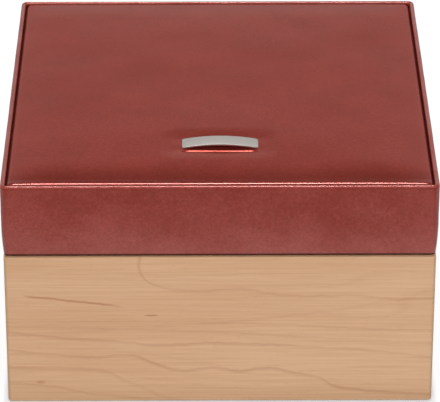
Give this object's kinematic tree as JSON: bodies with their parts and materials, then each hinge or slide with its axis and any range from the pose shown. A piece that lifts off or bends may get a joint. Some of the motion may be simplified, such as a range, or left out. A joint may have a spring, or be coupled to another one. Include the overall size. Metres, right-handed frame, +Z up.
{
  "type": "jewellery box",
  "caption": "Maple jewellery box with a leather-covered hinged hood lid, a padded top, a bowed plate, a mirror inside and a sliding ring tray.",
  "frame": {"origin": "centre of the felt's underside, where the box stands", "axes": "+Z up, -Y towards the front, +X to the right of someone facing the front"},
  "size_m": [0.22, 0.233, 0.129],
  "materials": {
    "maple": "pale maple, satin lacquer",
    "plywood": "thin board, sanded",
    "rose_leather": "smooth dark rose leather with a slight sheen",
    "foam": "upholstery foam",
    "lining": "short-pile velour over board",
    "ring_velvet": "velour over firm foam",
    "felt": "pressed felt",
    "plate_metal": "brushed, satin",
    "hinge_metal": "nickel plated",
    "mirror_glass": "bevelled mirror"
  },
  "bodies": {
    "case": {"case_front_wall": "maple", "case_right_wall": "maple", "case_back_wall": "maple", "case_left_wall": "maple", "base_panel": "plywood", "base_felt": "felt", "case_lining_front": "lining", "case_lining_back": "lining", "case_lining_left": "lining", "case_lining_right": "lining", "floor_pad": "lining", "tray_runner_left": "maple", "tray_runner_right": "maple", "lower_divider_cross": "lining", "lower_divider_left": "lining", "lower_divider_right": "lining", "hinge_case_leaf_left": "hinge_metal", "hinge_case_leaf_right": "hinge_metal", "hinge_pin_left": "hinge_metal", "hinge_pin_right": "hinge_metal", "hinge_case_screw_1": "hinge_metal", "hinge_case_screw_2": "hinge_metal", "hinge_case_screw_3": "hinge_metal", "hinge_case_screw_4": "hinge_metal"},
    "lid": {"lid_front_wall": "maple", "lid_right_wall": "maple", "lid_back_wall": "maple", "lid_left_wall": "maple", "lid_top_board": "plywood", "leather_band": "rose_leather", "panel_board": "plywood", "panel_foam": "foam", "panel_leather": "rose_leather", "name_plate": "plate_metal", "lid_ceiling_lining": "lining", "lid_lining_front": "lining", "lid_lining_back": "lining", "lid_lining_left": "lining", "lid_lining_right": "lining", "mirror": "mirror_glass", "mirror_frame": "maple", "hinge_lid_leaf_left": "hinge_metal", "hinge_lid_leaf_right": "hinge_metal", "hinge_lid_screw_1": "hinge_metal", "hinge_lid_screw_2": "hinge_metal", "hinge_lid_screw_3": "hinge_metal", "hinge_lid_screw_4": "hinge_metal"},
    "tray": {"tray_front_wall": "maple", "tray_back_wall": "maple", "tray_left_wall": "maple", "tray_right_wall": "maple", "tray_floor": "lining", "tray_divider_long": "lining", "tray_divider_short": "lining", "ring_roll_1": "ring_velvet", "ring_roll_2": "ring_velvet", "ring_roll_3": "ring_velvet", "ring_roll_4": "ring_velvet", "ring_roll_5": "ring_velvet", "pull_tab": "rose_leather"}
  },
  "joints": [
    {"name": "lid_hinge", "type": "hinge", "parent": "case", "child": "lid", "pos_m": [0, 0.1164, 0.0851], "axis": [-1, 0, 0], "range_deg": [0, 95]},
    {"name": "tray_slide", "type": "slide", "parent": "case", "child": "tray", "axis": [0, -1, 0], "range_m": [0, 0.103]}
  ]
}
